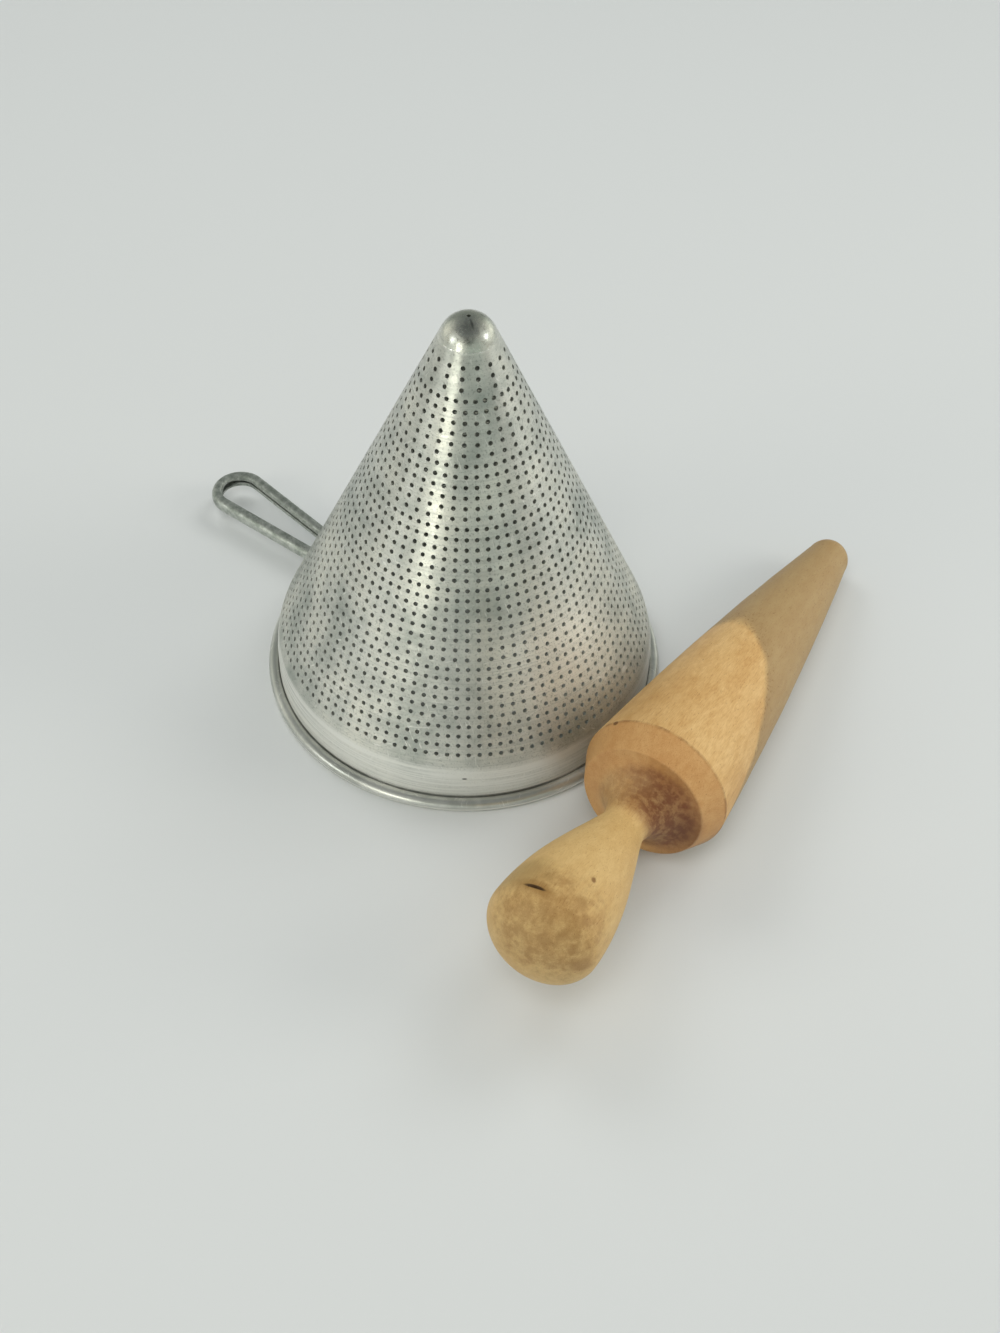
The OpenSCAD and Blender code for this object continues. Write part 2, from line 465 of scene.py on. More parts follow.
        rough = add("MapRange", [lines, 0.3, 0.7, *self.roughness], **SOFT)
        blotched = add("MapRange", [blotch, 0.35, 0.65], **SOFT)
        rough = add("Math", [blotched, self.blotched, rough], operation="MULTIPLY_ADD")
        rough = add("Math", [low, self.dulled, rough], operation="MULTIPLY_ADD")
        tip_rough = add("MapRange", [blotch, 0.36, 0.6, *self.tip_roughness], **SOFT)
        rough = add("Mix", {"Factor": tip, 2: rough, 3: tip_rough})
        rough = add("Mix", {"Factor": rim, 2: rough, 3: self.rim_roughness})
        surface.give("Roughness", where_any(rough, where_all(wear, self.scratch_roughness)))

        form = add("Math", [where_all(grit, pitted), 2.0, lines], operation="MULTIPLY_ADD")
        form = add("Math", [wear, -0.6, form], operation="MULTIPLY_ADD")
        form = add("Math", [where_all(blotch, tip), 4.5, form], operation="MULTIPLY_ADD")
        form = add("Math", [line, 4.0, form], operation="MULTIPLY_ADD")
        surface.roughen(form, self.relief)
        return surface.owner


@dataclass(frozen=True)
class PlatedSteel:
    """Tinned steel strip, worn and tarnished in patches, with a painted dark reflection on its
    upper edge and loop's end: a dull mid-grey with soft reflections.
    """

    name: str = "plated_steel"
    bright: str = "#CBCFC8"
    tarnish: str = "#A8AFA6"
    # Dark grime in the pits, and the painted dark reflection on the upper edge and loop's end
    grime_and_shade: str = "#59615A"
    roughness: tuple[float, float] = (0.6, 0.42)
    # The loop's end and its upper edge have lost most of their tin, and carry a painted dark
    # reflection
    bare_and_shaded_from: tuple[float, float] = (-140 * MM, -160 * MM)
    bare_and_shaded_above: tuple[float, float] = (12.2 * MM, 13.8 * MM)
    # The tarnish scatters light, so the strip isn't all mirror
    bloom: float = 0.3
    patch: float = 3.0 * MM
    speckle: float = 0.7 * MM
    relief: float = 0.08 * MM

    def material(self) -> bpy.types.Material:
        """Builds the material.

        Returns:
            The material.
        """
        surface = Surface(bpy.data.materials.new(self.name))
        add = surface.add
        place = add("TexCoord").outputs["Object"]
        apart = add("SeparateXYZ", [place]).outputs
        patch = surface.grains(place, self.patch, 5.0, 0.65)
        grit = surface.grains(place, self.speckle, 2.0, 0.6)
        end = add("MapRange", [apart["X"], *self.bare_and_shaded_from], **SOFT)
        edge = add("MapRange", [apart["Z"], *self.bare_and_shaded_above], **SOFT)
        patchy = add("MapRange", [patch, 0.72, 0.32, 0.15, 0.42], **SOFT)
        # Worn tin and painted dark reflection on the upper edge and the loop's end
        bare = surface.where_all(surface.where_any(end, edge), patchy)
        tone = add("ValToRGB", [patch], ((0.36, self.tarnish), (0.62, self.bright)))
        pits = add("MapRange", [grit, 0.54, 0.75, 0.0, 0.35], **SOFT)
        surface.give("Base Color", surface.cover(tone, (pits, self.grime_and_shade), (bare, self.grime_and_shade)))
        surface.give("Metallic", 1.0 - self.bloom)
        rough = add("MapRange", [patch, 0.38, 0.64, *self.roughness], **SOFT)
        surface.give("Roughness", rough)
        surface.roughen(add("Math", [patch, grit], operation="ADD"), self.relief)
        return surface.owner


@dataclass(frozen=True)
class PestleMarks:
    """Stains, wear and painted shade, placed on the pestle's own axis from its tip."""

    # The painted shadow over the tip half ends at a slanting plane: height on the axis plus slopes
    # across it
    tip_shadow_at: float = 150.1 * MM
    tip_shadow_slope: Point = (-1.94, -0.85, 1.0)
    tip_shadow: str = "#A98F63"
    # How far the painted shadow's border wanders
    wander: float = 26 * MM
    # A darker dotted line along the painted shadow's border
    tip_shadow_border: str = "#8A6534"
    tip_shadow_border_dots: Point = (1.1 * MM, 1.1 * MM, 1.6 * MM)
    edge_at: float = 194.7 * MM
    heel_to: float = 207.1 * MM
    heel: str = "#BE8850"
    edge: str = "#96683A"
    cove_to: float = 226 * MM
    # Direction across the axis in which the cove is darkest: painted shade over its stain
    cove_shade_turn: float = 100.0
    # The cove's colour, for its stain and its painted shade
    cove: str = "#744020"
    cove_scrapes: Point = (3.5 * MM, 3.5 * MM, 1.8 * MM)
    handled: str = "#D0B478"
    mottle: float = 5 * MM
    worn_end: Spot = Spot((-17, 6, 300.8), 0.0, (22, 22, 22), "#96703A", 0.72, 0.42, 1.0)
    spots: tuple[Spot, ...] = (
        # Painted shade on the knob's shaded left side
        Spot.beside(-142, 24.5, 284, (8, 13, 9), "#A08450", 0.6, 0.5, 0.8),
        Spot.beside(-166, 24.6, 291.2, (4, 8.5, 3.2), "#8F6A34", 0.45, 0.6),
        # Painted shade inside the drying crack
        Spot.beside(-166, 24.6, 291.2, (4, 4.7, 0.8), "#4C3517", 1.0, 0.25),
        Spot.beside(153.4, 23.2, 273.0, (2, 1.1, 1.2), "#7C5428", 0.85, 0.4, 1.5),
        Spot.beside(95.2, 21.6, 297.5, (5, 4, 4), "#8A6230", 0.5, 0.6),
        # Painted shadow along the heel's edge on the cove's shaded side
        Spot.beside(82, 22, 207.6, (7, 10, 4), "#5E3418", 0.4, 0.7),
        Spot.beside(-138, 33.2, 195.2, (2, 1.4, 0.9), "#6B4520", 0.9),
    )

    def painted_tip_shadow(self, nodes: Nodes, place: Source, wander: Source) -> list[Layer]:
        """Draws the painted shadow over the tip half and a darker dotted line along its border.

        Args:
            nodes: The material's tree.
            place: Points in the pestle's own frame.
            wander: A slow pattern that makes the border uneven.

        Returns:
            The layers, in order.
        """
        add = nodes.add
        lean = add("VectorMath", [place, self.tip_shadow_slope], operation="DOT_PRODUCT")
        lean = add("Math", [wander, self.wander, lean], operation="MULTIPLY_ADD")
        past = add("Math", [lean, self.tip_shadow_at], operation="SUBTRACT")
        dots = nodes.grains(place, self.tip_shadow_border_dots)
        tip_shadow_border = nodes.where_all(
            add("MapRange", [past, 20 * MM, 13 * MM], **SOFT),
            add("MapRange", [past, -4 * MM, 10 * MM], **SOFT),
            add("MapRange", [dots, 0.55, 0.7, 0.1, 0.7], **SOFT),
        )
        tip_shadow = add("MapRange", [past, 19 * MM, 9 * MM, 0.0, 0.9], **SOFT)
        return [(tip_shadow, self.tip_shadow), (tip_shadow_border, self.tip_shadow_border)]

    def stained_and_shaded_cove(
        self, nodes: Nodes, place: Source, along: Source, past_heel: Source, uneven: Source
    ) -> Layer:
        """Draws the stain in the cove, with painted shade that makes it strongest on one side.

        Args:
            nodes: The material's tree.
            place: Points in the pestle's own frame.
            along: Their heights on its axis.
            past_heel: How far they lie past the heel.
            uneven: A pattern that makes its borders uneven.

        Returns:
            The layer.
        """
        add = nodes.add
        level = add("VectorMath", [place, (1.0, 1.0, 0.0)], operation="MULTIPLY")
        way = add("VectorMath", [level], operation="NORMALIZE")
        most = on_axis(self.cove_shade_turn, 1.0, 0.0)
        side = add("VectorMath", [way, most], operation="DOT_PRODUCT")
        side = add("Math", [uneven, 0.8, side], operation="MULTIPLY_ADD")
        side = add("MapRange", [side, -0.5, 1.4, 0.4, 1.0], **SOFT)
        # Where the painted shade is weakest the stain also starts later
        start = add("Math", [side, 4 * MM, past_heel], operation="MULTIPLY_ADD")
        scrapes = nodes.grains(place, self.cove_scrapes, 4.0, 0.6)
        share = nodes.where_all(
            add("MapRange", [start, 2.6 * MM, 4.8 * MM], **SOFT),
            add("MapRange", [along, self.cove_to, self.cove_to - 9 * MM, 0.0, 0.95], **SOFT),
            side,
            add("MapRange", [scrapes, 0.36, 0.6, 0.68, 1.0], **SOFT),
        )
        return share, self.cove

    def layers(self, nodes: Nodes, place: Source, wander: Source) -> list[Layer]:
        """Draws the marks, in the order in which they cover each other.

        Args:
            nodes: The material's tree.
            place: Points in the pestle's own frame.
            wander: A slow pattern that makes the borders uneven.

        Returns:
            The marks' layers.
        """
        add = nodes.add
        along = add("SeparateXYZ", [place]).outputs["Z"]
        past_edge = add("Math", [along, self.edge_at], operation="SUBTRACT")
        past_heel = add("Math", [along, self.heel_to], operation="SUBTRACT")
        uneven = nodes.grains(place, self.mottle, 5.0, 0.7)
        edge = nodes.where_all(
            add("MapRange", [past_edge, -0.9 * MM, -0.1 * MM], **SOFT),
            add("MapRange", [past_edge, 1.2 * MM, 0.2 * MM], **SOFT),
            add("MapRange", [uneven, 0.4, 0.64, 0.2, 0.8], **SOFT),
        )
        heel = nodes.where_all(
            add("MapRange", [past_edge, 0.0, 0.8 * MM], **SOFT),
            add("MapRange", [past_heel, 4.0 * MM, 0.5 * MM, 0.0, 0.55], **SOFT),
        )
        handled = add("MapRange", [past_heel, 9 * MM, 24 * MM, 0.0, 0.55], **SOFT)
        mottle = nodes.grains(place, self.mottle, 6.0, 0.7)
        mottle = add("MapRange", [mottle, 0.68, 0.36, 0.35, 1.0], **SOFT)
        worn, worn_colour = self.worn_end.layer(nodes, place, uneven)
        return [
            *self.painted_tip_shadow(nodes, place, wander),
            (handled, self.handled),
            (heel, self.heel),
            self.stained_and_shaded_cove(nodes, place, along, past_heel, uneven),
            (edge, self.edge),
            (nodes.where_all(worn, mottle), worn_colour),
            *(spot.layer(nodes, place, uneven) for spot in self.spots),
        ]


@dataclass(frozen=True)
class TurnedBeech:
    """Bare turned beech, handled for years: fine fibres and short brown flecks along its axis.

    Every pattern is laid out on the pestle's own axis: X and Y across it, Z from tip to end.
    """

    name: str = "turned_beech"
    pale: str = "#E1BE83"
    warm: str = "#CA9D5C"
    streak: str = "#C9A67E"
    fleck: str = "#A07850"
    fibre_size: Point = (0.4 * MM, 0.4 * MM, 9 * MM)
    streak_size: Point = (0.45 * MM, 0.45 * MM, 5 * MM)
    fleck_size: Point = (0.5 * MM, 0.5 * MM, 2.4 * MM)
    cloud_size: Point = (13 * MM, 13 * MM, 39 * MM)
    blotch_size: Point = (3.2 * MM, 3.2 * MM, 8 * MM)
    wander_size: float = 28 * MM
    roughness: tuple[float, float] = (0.45, 0.62)
    relief: float = 0.12 * MM

    def material(self, placement: Matrix, marks: PestleMarks) -> bpy.types.Material:
        """Builds the material.

        Args:
            placement: What puts the pestle, modelled on its own axis, in its place.
            marks: Where the pestle is stained and rubbed, and where shade is painted on it.

        Returns:
            The material.
        """
        surface = Surface(bpy.data.materials.new(self.name))
        add = surface.add
        back = placement.inverted()
        turned = {"Location": back.to_translation(), "Rotation": back.to_euler()}
        place = add("Mapping", {"Vector": add("TexCoord").outputs["Object"], **turned})
        wander = surface.grains(place, self.wander_size)
        cloud = surface.grains(place, self.cloud_size, 3.0, 0.6)
        blotch = surface.grains(place, self.blotch_size, 4.0, 0.65)
        fibre = surface.grains(place, self.fibre_size, 3.0, 0.6)
        streak = surface.grains(place, self.streak_size, 2.0, 0.6)
        streak = add("MapRange", [streak, 0.56, 0.74, 0.0, 0.42], **SOFT)
        fleck = surface.grains(place, self.fleck_size, 1.0, 0.6)
        fleck = add("MapRange", [fleck, 0.68, 0.8, 0.0, 0.6], **SOFT)
        light = add("Math", [cloud, 0.35], operation="MULTIPLY")
        light = add("Math", [fibre, 0.35, light], operation="MULTIPLY_ADD")
        light = add("Math", [blotch, 0.3, light], operation="MULTIPLY_ADD")
        tone = add("ValToRGB", [light], ((0.34, self.warm), (0.66, self.pale)))
        tone = surface.cover(tone, *marks.layers(surface, place, wander))
        shade = add("MapRange", [light, 0.6, 0.4, 0.0, 0.18], **SOFT)
        grain = ((shade, self.warm), (streak, self.streak), (fleck, self.fleck))
        surface.give("Base Color", surface.cover(tone, *grain, mode="MULTIPLY"))
        rough = add("MapRange", [fibre, 0.3, 0.7, *self.roughness], **SOFT)
        surface.give("Roughness", rough)
        pores = add("Math", [streak, fleck], operation="ADD")
        form = add("Math", [pores, -0.6, fibre], operation="MULTIPLY_ADD")
        surface.roughen(form, self.relief)
        return surface.owner


@dataclass(frozen=True)
class PaleTable:
    """A plain matt tabletop in a pale cool grey."""

    name: str = "pale_table"
    colour: str = "#D9DCDA"
    roughness: float = 0.6

    def material(self) -> bpy.types.Material:
        """Builds the material.

        Returns:
            The material.
        """
        surface = Surface(bpy.data.materials.new(self.name))
        surface.give("Base Color", linear(self.colour))
        surface.give("Roughness", self.roughness)
        return surface.owner


def make_object(
    name: str, bm: bmesh.types.BMesh, material: bpy.types.Material, sharp: float
) -> bpy.types.Object:
    """Turns a bmesh into an object at the origin.

    Args:
        name: The piece's name.
        bm: Its mesh, which is freed.
        material: Its finish.
        sharp: Angle in degrees past which an edge stays crisp.

    Returns:
        The object, linked to the scene.
    """
    for face in bm.faces:
        face.smooth = True
    limit = math.radians(sharp)
    for edge in bm.edges:
        edge.smooth = edge.calc_face_angle(0.0) < limit
    mesh = bpy.data.meshes.new(name)
    bm.to_mesh(mesh)
    bm.free()
    mesh.materials.append(material)
    piece = bpy.data.objects.new(name, mesh)
    bpy.context.scene.collection.objects.link(piece)
    return piece


def everything(bm: bmesh.types.BMesh) -> list:
    """Lists all of a mesh's points, edges and faces."""
    return [*bm.verts, *bm.edges, *bm.faces]


def only(kind: type, parts: Iterable) -> list:
    """Picks the parts of one kind out of an operator's result."""
    return [part for part in parts if isinstance(part, kind)]


def chain(bm: bmesh.types.BMesh, points: Iterable[Point], closed: bool = False) -> list:
    """Adds points joined by edges, in order.

    Args:
        bm: The mesh that they go into.
        points: The points.
        closed: Whether the last point is joined to the first.

    Returns:
        The new vertices and edges.
    """
    verts = [bm.verts.new(point) for point in points]
    ends = verts[1:] + verts[:1] if closed else verts[1:]
    return verts + [bm.edges.new(pair) for pair in zip(verts, ends)]


def round_edges(bm: bmesh.types.BMesh, past: float, width: float, segments: int) -> None:
    """Bevels every edge that is sharper than an angle.

    Args:
        bm: The mesh.
        past: The angle, in degrees.
        width: The bevel's width.
        segments: Its steps.
    """
    bmesh.ops.bevel(
        bm,
        geom=[edge for edge in bm.edges if edge.calc_face_angle(0.0) > math.radians(past)],
        offset=width,
        segments=segments,
        profile=0.5,
        affect="EDGES",
        material=-1,
        clamp_overlap=True,
    )


def turn_whole(bm: bmesh.types.BMesh, outline: Iterable[Point], axis: Axis, steps: int) -> None:
    """Spins an outline once round an axis and closes it.

    Args:
        bm: The mesh that it goes into.
        outline: The outline's points, from one pole to the other.
        axis: The axis.
        steps: Steps in the whole turn.
    """
    geom = chain(bm, outline)
    bmesh.ops.spin(
        bm, geom=geom, axis=axis.value, angle=2 * math.pi, steps=steps, use_merge=True
    )
    bmesh.ops.remove_doubles(bm, verts=bm.verts, dist=WELD)
    bmesh.ops.recalc_face_normals(bm, faces=bm.faces)


def spaced(start: float, end: float, steps: int) -> list[float]:
    """Divides a length evenly.

    Args:
        start: The first value.
        end: The last value.
        steps: How many steps lie between them.

    Returns:
        The values, both ends included.
    """
    return [start + (end - start) * i / steps for i in range(steps + 1)]


@dataclass
class Zone:
    """Rings that all have the same number of holes."""

    rings: int
    # Holes in one stroke of the gang punch, which pierces one sixteenth of a ring
    holes: int
    # Mesh steps across each hole's cell
    steps: int


@dataclass
class Strainer:
    """The cone: one spun sheet with a rounded tip, pierced side, straight wall and rolled rim.

    One stroke of the gang punch is built flat, with turns round the axis along X and lengths along
    the outline along Y, then thickened, wrapped and repeated round the axis.
    """

    rim_d: float = 184 * MM
    height: float = 202 * MM
    sheet: float = 1.2 * MM
    tip_r: float = 12.3 * MM
    wall_top: float = 15.5 * MM
    bend_r: float = 38 * MM
    bead_d: float = 6.2 * MM
    curl_gap: float = 0.3 * MM
    vent_r: float = 0.8 * MM
    strokes: int = 16
    stroke_turn: float = -0.37
    hole_r: float = 1.0 * MM
    hole_sides: int = 12
    ring_pitch: float = 4.5 * MM
    first_ring: float = 8.2 * MM
    zones: list[Zone] = field(
        default_factory=lambda: [
            Zone(3, 1, 4),
            Zone(6, 2, 3),
            Zone(6, 3, 2),
            Zone(6, 4, 2),
            Zone(8, 5, 2),
            Zone(6, 6, 2),
            Zone(4, 7, 2),
        ]
    )
    # Half the height of the strip of triangles between two zones
    joint: float = 0.25 * MM
    # Mesh steps along the outline, and across one stroke where nothing is pierced
    tip_steps: int = 12
    tip_columns: int = 4
    bend_steps: int = 6
    wall_steps: int = 2
    roll_steps: int = 18
    rim_columns: int = 14
    # Angle past which an edge stays crisp
    crisp: float = 40.0

    def __post_init__(self) -> None:
        """Works out the outline's centres and the lengths along it."""
        self.wall_r = self.rim_d / 2 - self.bead_d + self.sheet
        self.bead_r = self.bead_d / 2
        self.tip_c = Vector((0.0, self.height - self.tip_r))
        self.bend_c = Vector((self.wall_r - self.bend_r, self.wall_top))
        self.bead_c = Vector((self.wall_r - self.sheet + self.bead_r, self.bead_r))
        span = self.bend_c - self.tip_c
        lean = math.acos((self.tip_r - self.bend_r) / span.length)
        self.taper = lean - math.atan2(-span.y, span.x)
        edge = math.acos((self.wall_r + self.curl_gap - self.bead_c.x) / self.bead_r)
        curl = math.radians(180) + edge
        start = self.tip_c + self.tip_r * self.facing(self.taper)
        end = self.bend_c + self.bend_r * self.facing(self.taper)
        self.vent_at = -self.tip_r * (math.acos(self.vent_r / self.tip_r) - self.taper)
        self.bend_at = (end - start).length
        self.wall_at = self.bend_at + self.bend_r * self.taper
        self.roll_at = self.wall_at + self.wall_top - self.bead_r
        self.edge_at = self.roll_at + curl * (self.bead_r - self.sheet)
        self.stroke_w = 2 * math.pi / self.strokes

    @staticmethod
    def facing(angle: float) -> Vector:
        """Unit direction, out and up, at an angle above level."""
        return Vector((math.cos(angle), math.sin(angle)))

    def outline(self, along: float) -> tuple[Vector, Vector]:
        """Finds a point of the sheet's outer side.

        Args:
            along: Length along the outline, from where the tip's rounding ends.

        Returns:
            The point and the way that the sheet faces there, as radius and height.
        """
        if along < 0:
            out = self.facing(self.taper - along / self.tip_r)
            return self.tip_c + self.tip_r * out, out
        if along < self.bend_at:
            out = self.facing(self.taper)
            down = Vector((math.sin(self.taper), -math.cos(self.taper)))
            return self.tip_c + self.tip_r * out + along * down, out
        if along < self.wall_at:
            out = self.facing(self.taper - (along - self.bend_at) / self.bend_r)
            return self.bend_c + self.bend_r * out, out
        if along < self.roll_at:
            return Vector((self.wall_r, self.wall_top - (along - self.wall_at))), Vector((1.0, 0.0))
        inner = self.bead_r - self.sheet
        out = self.facing(math.pi + (along - self.roll_at) / inner)
        return self.bead_c + inner * out, -out

    def repeat(
        self, bm: bmesh.types.BMesh, geom: list, step: float, count: int, copy: bool
    ) -> None:
        """Copies or sweeps flat geometry round the axis.

        Args:
            bm: The flat blank.
            geom: What is copied or swept.
            step: One step, in radians.
            count: Number of steps.
            copy: Copies where true, a swept face where false.
        """
        dvec = (step, 0, 0)
        bmesh.ops.spin(
            bm, geom=geom, axis=Axis.Z.value, dvec=dvec, angle=0.0, steps=count, use_duplicate=copy
        )

    def cells(
        self, bm: bmesh.types.BMesh, along: float, top: float, bottom: float, zone: Zone
    ) -> None:
        """Adds one ring's pierced cells to the flat blank.

        Args:
            bm: The flat blank.
            along: Where the ring's holes are.
            top: Where its cells start.
            bottom: Where they end.
            zone: The zone that the ring is in.
        """
        width = self.stroke_w / zone.holes
        hole = bmesh.ops.create_circle(bm, segments=self.hole_sides, radius=self.hole_r)["verts"]
        bmesh.ops.scale(bm, verts=hole, vec=(1 / self.outline(along)[0].x, 1, 1))
        bmesh.ops.translate(bm, verts=hole, vec=(width / 2, along, 0))
        columns = spaced(0.0, width, zone.steps)
        corners = [(x, top, 0) for x in columns] + [(x, bottom, 0) for x in reversed(columns)]
        rims = {edge for vert in hole for edge in vert.link_edges}
        rims.update(only(bmesh.types.BMEdge, chain(bm, corners, True)))
        faces = bmesh.ops.bridge_loops(bm, edges=list(rims))["faces"]
        cell = {part for face in faces for part in (*face.verts, *face.edges)}
        self.repeat(bm, list(cell) + faces, width, zone.holes - 1, copy=True)

    def band(self, bm: bmesh.types.BMesh, stations: list[float], columns: int) -> None:
        """Adds an unpierced band to the flat blank.

        Args:
            bm: The flat blank.
            stations: Lengths along the outline at which the band has edges.
            columns: Its mesh steps across.
        """
        profile = chain(bm, [(0.0, along, 0.0) for along in stations])
        self.repeat(bm, profile, self.stroke_w / columns, columns, copy=False)

    def join_zones(self, bm: bmesh.types.BMesh, levels: tuple[float, float]) -> None:
        """Joins two rows of cells that differ in number by a strip of triangles.

        Args:
            bm: The flat blank.
            levels: Lengths along the outline at which the two rows end.
        """

        def level_of(vert: bmesh.types.BMVert) -> int:
            """Says on which level a point is, as 1 or 2, or 0 where it is on neither."""
            near = [abs(vert.co.y - level) < WELD for level in levels]
            return near.index(True) + 1 if any(near) else 0

        ends = [vert for vert in bm.verts if level_of(vert)]
        bmesh.ops.remove_doubles(bm, verts=ends, dist=WELD)
        rows = [
            edge
            for edge in bm.edges
            if edge.is_boundary and level_of(edge.verts[0]) == level_of(edge.verts[1]) > 0
        ]
        bmesh.ops.bridge_loops(bm, edges=rows)

    def stroke(self) -> bmesh.types.BMesh:
        """Builds one stroke's share of the flat blank.

        Returns:
            The blank's mesh.
        """
        bm = bmesh.new()
        half = self.ring_pitch / 2
        along = self.first_ring
        self.band(bm, spaced(self.vent_at, along - half, self.tip_steps), self.tip_columns)
        for index, zone in enumerate(self.zones):
            for ring in range(zone.rings):
                opens = ring == 0 and index > 0
                closes = ring == zone.rings - 1 and index < len(self.zones) - 1
                top = along - half + self.joint * opens
                self.cells(bm, along, top, along + half - self.joint * closes, zone)
                if opens:
                    self.join_zones(bm, (top - 2 * self.joint, top))
                along += self.ring_pitch
        stations = spaced(along - half, self.wall_at, self.bend_steps)
        stations += spaced(self.wall_at, self.roll_at, self.wall_steps)[1:]
        stations += spaced(self.roll_at, self.edge_at, self.roll_steps)[1:]
        self.band(bm, stations, self.rim_columns)
        bmesh.ops.remove_doubles(bm, verts=bm.verts, dist=WELD)
        return bm

    def build(self, finish: SpunAluminium) -> bpy.types.Object:
        """Thickens one stroke, forms it and repeats it round the axis.

        Args:
            finish: The sheet's finish.

        Returns:
            The piece.
        """
        bm = self.stroke()
        for face in bm.faces:
            face.normal_update()
            if face.normal.z < 0:
                face.normal_flip()
        bmesh.ops.solidify(bm, geom=list(bm.faces), thickness=self.sheet)
        for side in (0.0, self.stroke_w):
            cut = [f for f in bm.faces if all(abs(vert.co.x - side) < WELD for vert in f.verts)]
            bmesh.ops.delete(bm, geom=cut, context="FACES")
        for vert in bm.verts:
            turn = vert.co.x + math.radians(self.stroke_turn)
            point, out = self.outline(vert.co.y)
            radius, height = point + out * vert.co.z
            vert.co = (radius * math.cos(turn), radius * math.sin(turn), height)
        bmesh.ops.spin(
            bm,
            geom=everything(bm),
            axis=Axis.Z.value,
            angle=2 * math.pi - self.stroke_w,
            steps=self.strokes - 1,
            use_duplicate=True,
        )
        bmesh.ops.remove_doubles(bm, verts=bm.verts, dist=WELD)
        bmesh.ops.recalc_face_normals(bm, faces=bm.faces)
        return make_object("strainer_sheet", bm, finish.material(), self.crisp)


